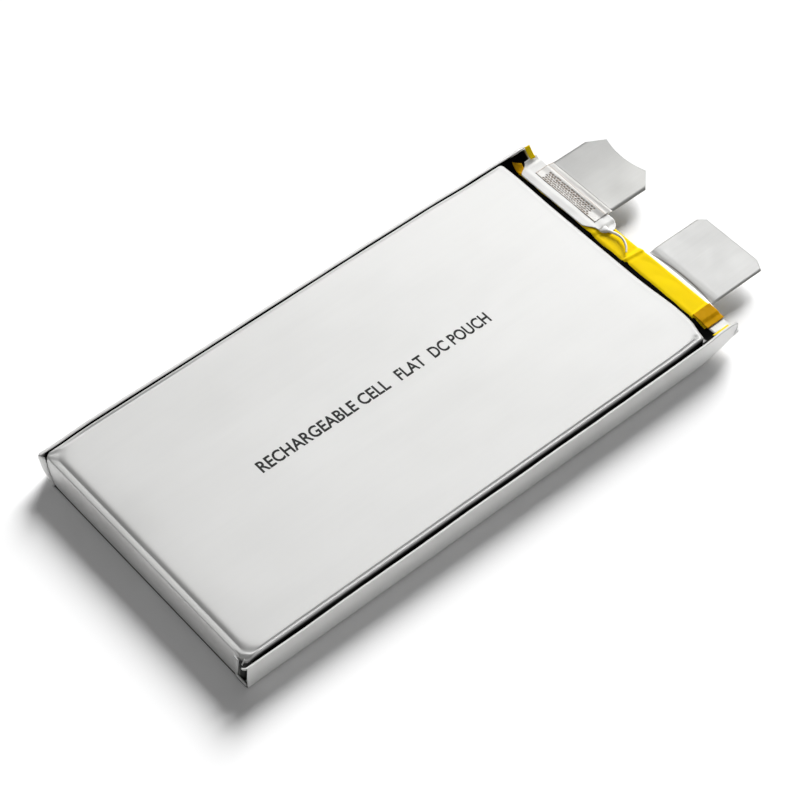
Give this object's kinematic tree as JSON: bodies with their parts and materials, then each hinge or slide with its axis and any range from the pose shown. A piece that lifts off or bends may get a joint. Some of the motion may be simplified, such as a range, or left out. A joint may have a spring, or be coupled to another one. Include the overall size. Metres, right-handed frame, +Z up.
{
  "type": "pouch battery cell",
  "caption": "Flat rechargeable pouch cell in folded laminate film, with two flat terminals on one short end for welding or soldering into a pack.",
  "frame": {"origin": "centre of the pouch's flat back face, on the surface that the cell lies on", "axes": "+Y along the cell towards the terminals, +X across it, +Z up from the back face to the cup face"},
  "size_m": [0.074, 0.1665, 0.008],
  "materials": {
    "laminate_film": "satin",
    "aluminium_tab": "satin",
    "nickel": "satin",
    "tab_sealant": "satin",
    "yellow_tape": "gloss",
    "white_tape": "gloss",
    "cathode_coating": "matt",
    "anode_coating": "matt",
    "separator_film": "matt",
    "stack_tape": "satin"
  },
  "bodies": {
    "root": {"adapter_insulating_tape": "white_tape", "anode_sheet_01": "anode_coating", "anode_sheet_02": "anode_coating", "anode_sheet_03": "anode_coating", "anode_sheet_04": "anode_coating", "anode_sheet_05": "anode_coating", "anode_sheet_06": "anode_coating", "anode_sheet_07": "anode_coating", "anode_sheet_08": "anode_coating", "anode_sheet_09": "anode_coating", "anode_sheet_10": "anode_coating", "anode_sheet_11": "anode_coating", "anode_sheet_12": "anode_coating", "anode_sheet_13": "anode_coating", "cathode_sheet_01": "cathode_coating", "cathode_sheet_02": "cathode_coating", "cathode_sheet_03": "cathode_coating", "cathode_sheet_04": "cathode_coating", "cathode_sheet_05": "cathode_coating", "cathode_sheet_06": "cathode_coating", "cathode_sheet_07": "cathode_coating", "cathode_sheet_08": "cathode_coating", "cathode_sheet_09": "cathode_coating", "cathode_sheet_10": "cathode_coating", "cathode_sheet_11": "cathode_coating", "cathode_sheet_12": "cathode_coating", "negative_tab": "nickel", "negative_tab_sealant_lower": "tab_sealant", "negative_tab_sealant_upper": "tab_sealant", "negative_weld_tape": "yellow_tape", "nickel_adapter": "nickel", "positive_tab": "aluminium_tab", "positive_tab_sealant_lower": "tab_sealant", "positive_tab_sealant_upper": "tab_sealant", "positive_weld_tape": "yellow_tape", "pouch_back_film": "laminate_film", "pouch_cup_film": "laminate_film", "separator": "separator_film", "stack_tape_left_far": "stack_tape", "stack_tape_left_near": "stack_tape", "stack_tape_right_far": "stack_tape", "stack_tape_right_near": "stack_tape", "terrace_tape": "yellow_tape", "terrace_tape_under": "yellow_tape"}
  },
  "joints": []
}
